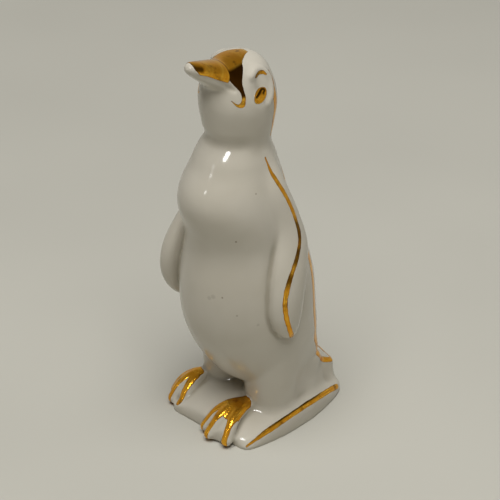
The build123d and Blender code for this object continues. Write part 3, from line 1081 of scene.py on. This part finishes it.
def eye_field(side):
    """A leaning oval on one side of the head."""
    keep = on_cheek(side)

    def field(spots, facing):
        seen = front_head_view(spots)
        oval = np.linalg.norm((seen - eye_spot) @ eye_axes, axis=1)
        value = (1 - oval) * math.hypot(*eye_back) + ragged(spots, eye_ragged, eye_seed)
        return np.where(keep(spots, facing), value, far_outside), seen[:, 1]
    return field


def eye_dark_reflection(spots):
    """A painted dark reflection: a hooked line across the eye."""
    gap, along = line_distance(front_head_view(spots), curve_through(eye_reflection_hook))
    return bell(gap - 0.5 * reflection_hook_half, reflection_hook_half)


def brow_dark_reflection(spots):
    """Painted dark reflection at the brow's front end."""
    return brow_reflection_share * smooth_step(front_head_view(spots)[:, 0], *brow_reflection_reach)


def wing_dark_reflection(spots):
    """Painted dark reflection along a stretch in the middle of a wing's line."""
    patches = smooth_step(ripple(spots, wing_reflection_patch, wing_reflection_seed), *wing_reflection_patches)
    return wing_reflection_share * between(spots[:, 2], *wing_reflection_heights) * patches


brow_line = curve_through(brow_stroke)
stripe_line = curve_through(head_stripe)
for name, side, wing_stroke in (("left", 1, left_wing_stroke), ("right", -1, right_wing_stroke)):
    gild(f"{name}_eye", eye_field(side), eye_dark_reflection)
    gild(
        f"{name}_brow",
        stroke_field(brow_line, front_head_view, on_cheek(side), brow_width, brow_taper, brow_seed),
        brow_dark_reflection,
    )
    on_stripe = on_side(side, *stripe_heights)
    gild(
        f"{name}_head_stripe",
        stroke_field(stripe_line, side_view, on_stripe, stripe_width, stripe_taper, stripe_seed),
    )
    wing_line = curve_through(wing_stroke)
    on_wing_edge = beside(f"{name}_wing_line", side)
    gild(
        f"{name}_wing_line",
        stroke_field(wing_line, side_view, on_wing_edge, brush_line, wing_taper, wing_seed),
        wing_dark_reflection,
    )
    coat_line = curve_through([(side * x, height) for x, height in coat_stroke])
    gild(
        f"{name}_coat_line",
        stroke_field(coat_line, back_view, on_back(side), brush_line, coat_taper, coat_seed),
    )


# Tail
def on_tail(spots, facing):
    """Holds for the tail's upper part, behind the legs."""
    return (spots[:, 1] > tail_front) & (spots[:, 2] > tail_low)


to_axis = np.array([0, tail_axis_y, 0]) - tail_line * np.array([1, 1, 0])
inset_line = tail_line + tail_inset * to_axis / np.linalg.norm(to_axis, axis=1)[:, None]
gild(
    "tail_gilding",
    stroke_field(laid_on_skin(inset_line), whole_view, on_tail, tail_line_width, tail_taper, tail_seed),
)


# Feet
def ridge_heights(line, shares):
    """Heights of the skin along a toe's middle line."""
    heights = []
    for share in shares:
        x, y = line[0] + share * (line[1] - line[0])
        hit = skin_tree.ray_cast((x, y, above_toes), (0, 0, -1))[0]
        heights.append(hit.z if hit else 0.0)
    return heights


def foot_field(foot, heel_half, toe_half, web_end):
    """The toes seen from above, joined by gold from the heel out to web_end."""
    heel, turn, toes = foot
    knuckle_half, tip_half = toe_half
    heel_drop, tip_drop = toe_drop
    lines = toes_of(*foot)
    shares = np.linspace(0, 1, toe_steps)
    ridges = [ridge_heights(line, shares) for line in lines]
    spreads = sorted(spread for reach_out, spread in toes)

    def field(spots, facing):
        value = np.full(len(spots), far_outside)
        along = np.zeros(len(spots))
        for line, heights in zip(lines, ridges):
            length = np.linalg.norm(line[1] - line[0])
            gap, here = line_distance(spots[:, :2], line)
            half = heel_half + (knuckle_half - heel_half) * smooth_step(here, 0, knuckle_share * length)
            narrow_start, narrow_end = (share * length for share in narrow_shares)
            half += (tip_half - knuckle_half) * smooth_step(here, narrow_start, narrow_end)
            drop_start, drop_end = (share * length for share in drop_shares)
            drop = heel_drop + (tip_drop - heel_drop) * smooth_step(here, drop_start, drop_end)
            ridge = np.interp(here / length, shares, heights)
            inside = np.minimum(half - gap, spots[:, 2] - ridge + drop)
            along = np.where(inside > value, here, along)
            value = np.maximum(value, inside)
        out = spots[:, :2] - heel
        distance = np.linalg.norm(out, axis=1)
        heading = np.degrees(np.arctan2(out[:, 0], -out[:, 1])) - turn
        fan = np.minimum(heading - spreads[0], spreads[-1] - heading)
        web = np.minimum(np.radians(fan) * distance, web_end - distance)
        value = np.maximum(value, np.minimum(web, distance - heel_bare))
        value = value + ragged(spots, foot_ragged, foot_seed)
        return np.minimum(value, foot_gold_top - spots[:, 2]), along

    return field


gild("left_foot_gilding", foot_field(left_foot, left_heel_half, left_toe_half, left_web_end))
gild("right_foot_gilding", foot_field(right_foot, right_heel_half, right_toe_half, right_web_end))


# Plinth
def everywhere(spots, facing):
    """Holds for every point."""
    return np.ones(len(spots), bool)


def plinth_edge(side, ends):
    """The upper edge of one long side of the plinth, between two y."""
    line = []
    corner_x, corner_y = plinth_front_corner
    middle_x, middle_y = plinth_side_middle
    for y in np.linspace(ends[0], ends[1], plinth_line_steps):
        x = corner_x + (middle_x - corner_x) * (1 - ((y - middle_y) / (middle_y - corner_y)) ** 2)
        from_crown = math.hypot(x, y - crown_y)
        z = crown_height - crown_radius + math.sqrt(crown_radius ** 2 - from_crown ** 2)
        line.append((side * (x - plinth_line_inset), y, z))
    return laid_on_skin(np.array(line))


def plinth_dark_reflection(line):
    """Painted dark reflection on the upper side of a plinth line, along its middle."""
    def dark_reflection(spots):
        inward = np.interp(spots[:, 1], line[:, 1], np.abs(line[:, 0])) - np.abs(spots[:, 0])
        upper = smooth_step(inward, *plinth_reflection_inward)
        return plinth_reflection_share * upper * between(spots[:, 1], *plinth_reflection_span)
    return dark_reflection


for name, side, ends in (("left", 1, left_plinth_line), ("right", -1, right_plinth_line)):
    edge_line = plinth_edge(side, ends)
    gild(
        f"{name}_plinth_line",
        stroke_field(edge_line, whole_view, everywhere, plinth_line_width, plinth_taper, plinth_seed),
        plinth_dark_reflection(edge_line),
    )

# Floor
floor_mesh = bpy.data.meshes.new("floor")
floor_corners = [(x * half_floor, y * half_floor, 0) for x, y in ((-1, -1), (1, -1), (1, 1), (-1, 1))]
floor_mesh.from_pydata(floor_corners, [], [(0, 1, 2, 3)])
floor = bpy.data.objects.new("floor", floor_mesh)
scene.collection.objects.link(floor)
floor.data.materials.append(floor_material())


# Light and camera
def direction(azimuth, elevation):
    """Unit vector from the object towards a place round it."""
    a, e = math.radians(azimuth), math.radians(elevation)
    return Vector((math.sin(a) * math.cos(e), -math.cos(a) * math.cos(e), math.sin(e)))


def lamp(name, azimuth, elevation, distance, size, power):
    """A soft square lamp that looks at the figure."""
    data = bpy.data.lights.new(name, "AREA")
    data.size = size
    data.energy = power
    light = bpy.data.objects.new(name, data)
    towards = direction(azimuth, elevation)
    light.location = Vector(lamp_aim) + towards * distance
    light.rotation_euler = towards.to_track_quat("Z", "Y").to_euler()
    scene.collection.objects.link(light)
    return light


def studio_world():
    """Dim warm fill, with a pale backdrop that the camera and reflections see."""
    world = bpy.data.worlds.new("studio")
    world.use_nodes = True
    tree = world.node_tree
    fill = tree.nodes["Background"]
    fill.inputs["Color"].default_value = (*fill_colour, 1)
    fill.inputs["Strength"].default_value = fill_strength
    height = tree.nodes.new("ShaderNodeSeparateXYZ")
    tree.links.new(tree.nodes.new("ShaderNodeTexCoord").outputs["Generated"], height.inputs["Vector"])
    overhead_share = remap(tree, height.outputs["Z"], ceiling_range, (0, 1))
    backdrop = tree.nodes.new("ShaderNodeBackground")
    colour = mix_colour(tree, overhead_share, backdrop_colour, ceiling_colour)
    tree.links.new(colour, backdrop.inputs["Color"])
    seen = backdrop_rays(tree)
    mix_shaders(tree, seen, fill.outputs["Background"], backdrop.outputs["Background"], "World Output")
    return world


overhead = lamp("overhead", *overhead_lamp)
overhead.data.color = overhead_colour
overhead.visible_glossy = False
for glint in (lamp("window", *window_lamp), lamp("spark", *spark_lamp)):
    glint.visible_diffuse = False
scene.world = studio_world()
scene.view_settings.view_transform = "Standard"

camera_data = bpy.data.cameras.new("camera")
camera_data.lens = camera_lens
camera_data.sensor_width = camera_sensor
camera_data.clip_start = camera_near * mm
camera = bpy.data.objects.new("camera", camera_data)
back = direction(camera_azimuth, camera_elevation)
camera.location = Vector(camera_target) * mm + back * camera_distance * mm
camera.rotation_euler = back.to_track_quat("Z", "Y").to_euler()
scene.collection.objects.link(camera)
scene.camera = camera
